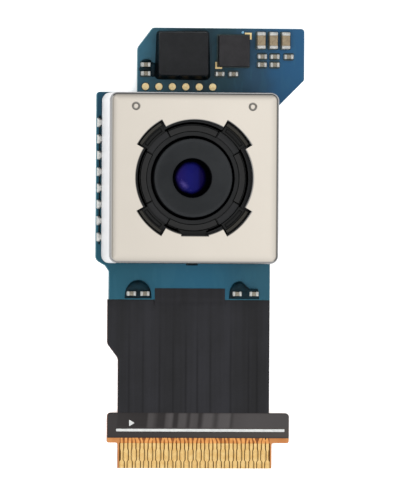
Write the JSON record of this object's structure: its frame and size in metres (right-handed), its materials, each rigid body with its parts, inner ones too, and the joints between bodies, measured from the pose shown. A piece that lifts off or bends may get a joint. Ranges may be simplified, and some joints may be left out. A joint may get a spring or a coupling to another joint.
{
  "type": "camera module",
  "caption": "Small autofocus camera module with a square metal can, a stabilised lens, chips on a rigid board and a flexible tail that ends in plug-in contacts.",
  "frame": {"origin": "on the optical axis, in the underside of the steel back plate that the module lies on", "axes": "+Z along the optical axis out of the lens; +Y towards the board end with the chips, so the tail runs to -Y; +X to the right seen from the front with the chips at the top"},
  "size_m": [0.0128, 0.0269, 0.005],
  "materials": {
    "plate_steel": "rolled stainless steel",
    "board": "blue solder mask",
    "polyimide": "amber polyimide film",
    "black_film": "black shield film",
    "gold": "gold plating",
    "silicon": "polished silicon",
    "black_plastic": "moulded black plastic",
    "filter_glass": "coated blue glass",
    "can_metal": "satin nickel silver sheet",
    "copper": "enamelled copper wire",
    "chip_resin": "moulding compound",
    "solder": "tin solder",
    "capacitor_ceramic": "brown ceramic",
    "glue": "black resin",
    "magnet": "nickel plating",
    "ball_ceramic": "polished ceramic",
    "lens_glass": "coated optical plastic"
  },
  "bodies": {
    "root": {"back_plate": "plate_steel", "rigid_board": "board", "flex_tail": "polyimide", "shield_film": "black_film", "tail_back_film": "black_film", "contact_cover": "black_film", "contact_stiffener": "polyimide", "contact_fingers": "gold", "test_pads": "gold", "corner_marks": "gold", "image_sensor": "silicon", "sensor_holder": "black_plastic", "ir_filter": "filter_glass", "shield_can": "can_metal", "actuator_housing": "black_plastic", "coil_flex": "polyimide", "focus_coil": "copper", "shift_coil_x": "copper", "shift_coil_y": "copper", "focus_driver_chip": "chip_resin", "hall_sensor_x": "chip_resin", "hall_sensor_y": "chip_resin", "focus_yoke": "plate_steel", "side_terminals": "gold", "terminal_solder": "solder", "control_chip": "chip_resin", "control_chip_underfill": "glue", "motion_chip": "chip_resin", "large_capacitor_bodies": "capacitor_ceramic", "large_capacitor_ends": "solder", "small_capacitor_bodies": "capacitor_ceramic", "small_capacitor_ends": "solder", "glue_domes": "glue"},
    "focus_stage": {"focus_carrier": "black_plastic", "focus_magnet": "magnet", "guide_balls": "ball_ceramic", "stopper_ring": "black_plastic"},
    "shift_stage": {"shift_frame": "black_plastic", "frame_balls": "ball_ceramic"},
    "lens_stage": {"lens_holder": "black_plastic", "holder_balls": "ball_ceramic", "shift_magnet_x": "magnet", "shift_magnet_y": "magnet", "lens_barrel": "black_plastic", "lens_spacers": "black_film", "lens_retainer": "black_plastic", "lens_element_1": "lens_glass", "lens_element_2": "lens_glass", "lens_element_3": "lens_glass", "lens_element_4": "lens_glass", "lens_element_5": "lens_glass"}
  },
  "joints": [
    {"name": "focus_slide", "type": "slide", "parent": "root", "child": "focus_stage", "axis": [0, 0, 1], "range_m": [0, 0.0003]},
    {"name": "shift_x", "type": "slide", "parent": "focus_stage", "child": "shift_stage", "axis": [1, 0, 0], "range_m": [-0.0001, 0.0001], "stiffness_N_per_m": 30},
    {"name": "shift_y", "type": "slide", "parent": "shift_stage", "child": "lens_stage", "axis": [0, 1, 0], "range_m": [-0.0001, 0.0001], "stiffness_N_per_m": 30}
  ]
}
